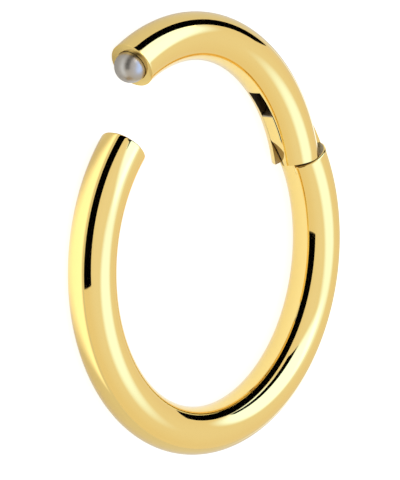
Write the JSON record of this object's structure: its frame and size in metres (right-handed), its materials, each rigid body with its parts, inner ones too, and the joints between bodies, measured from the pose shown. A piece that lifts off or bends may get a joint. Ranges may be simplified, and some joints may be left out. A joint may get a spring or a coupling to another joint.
{
  "type": "hinged segment ring",
  "caption": "Round gold wire ring for a piercing: a hinged top segment swings open in the ring's plane and closes with a small ball in a socket.",
  "frame": {"origin": "on the surface that the ring lies on, under the middle of its bounding box with the segment open", "axes": "+Z is the ring's axis and the hinge's; +Y points from the middle of the body arc towards the open segment; +X points towards the hinge"},
  "size_m": [0.0132, 0.0146, 0.0016],
  "materials": {
    "polished_gold": "mirror-polished yellow gold plating on steel",
    "polished_steel": "mirror-polished surgical steel"
  },
  "bodies": {
    "body": {"body_arc": "polished_gold"},
    "segment": {"hinged_segment": "polished_gold", "hinge_pin": "polished_steel", "click_ball": "polished_steel"}
  },
  "joints": [
    {"name": "segment_hinge", "type": "hinge", "parent": "body", "child": "segment", "pos_m": [0.00397, 0.00374, 0.0008], "axis": [0, 0, -1], "range_deg": [-17.6, 12.4]}
  ]
}
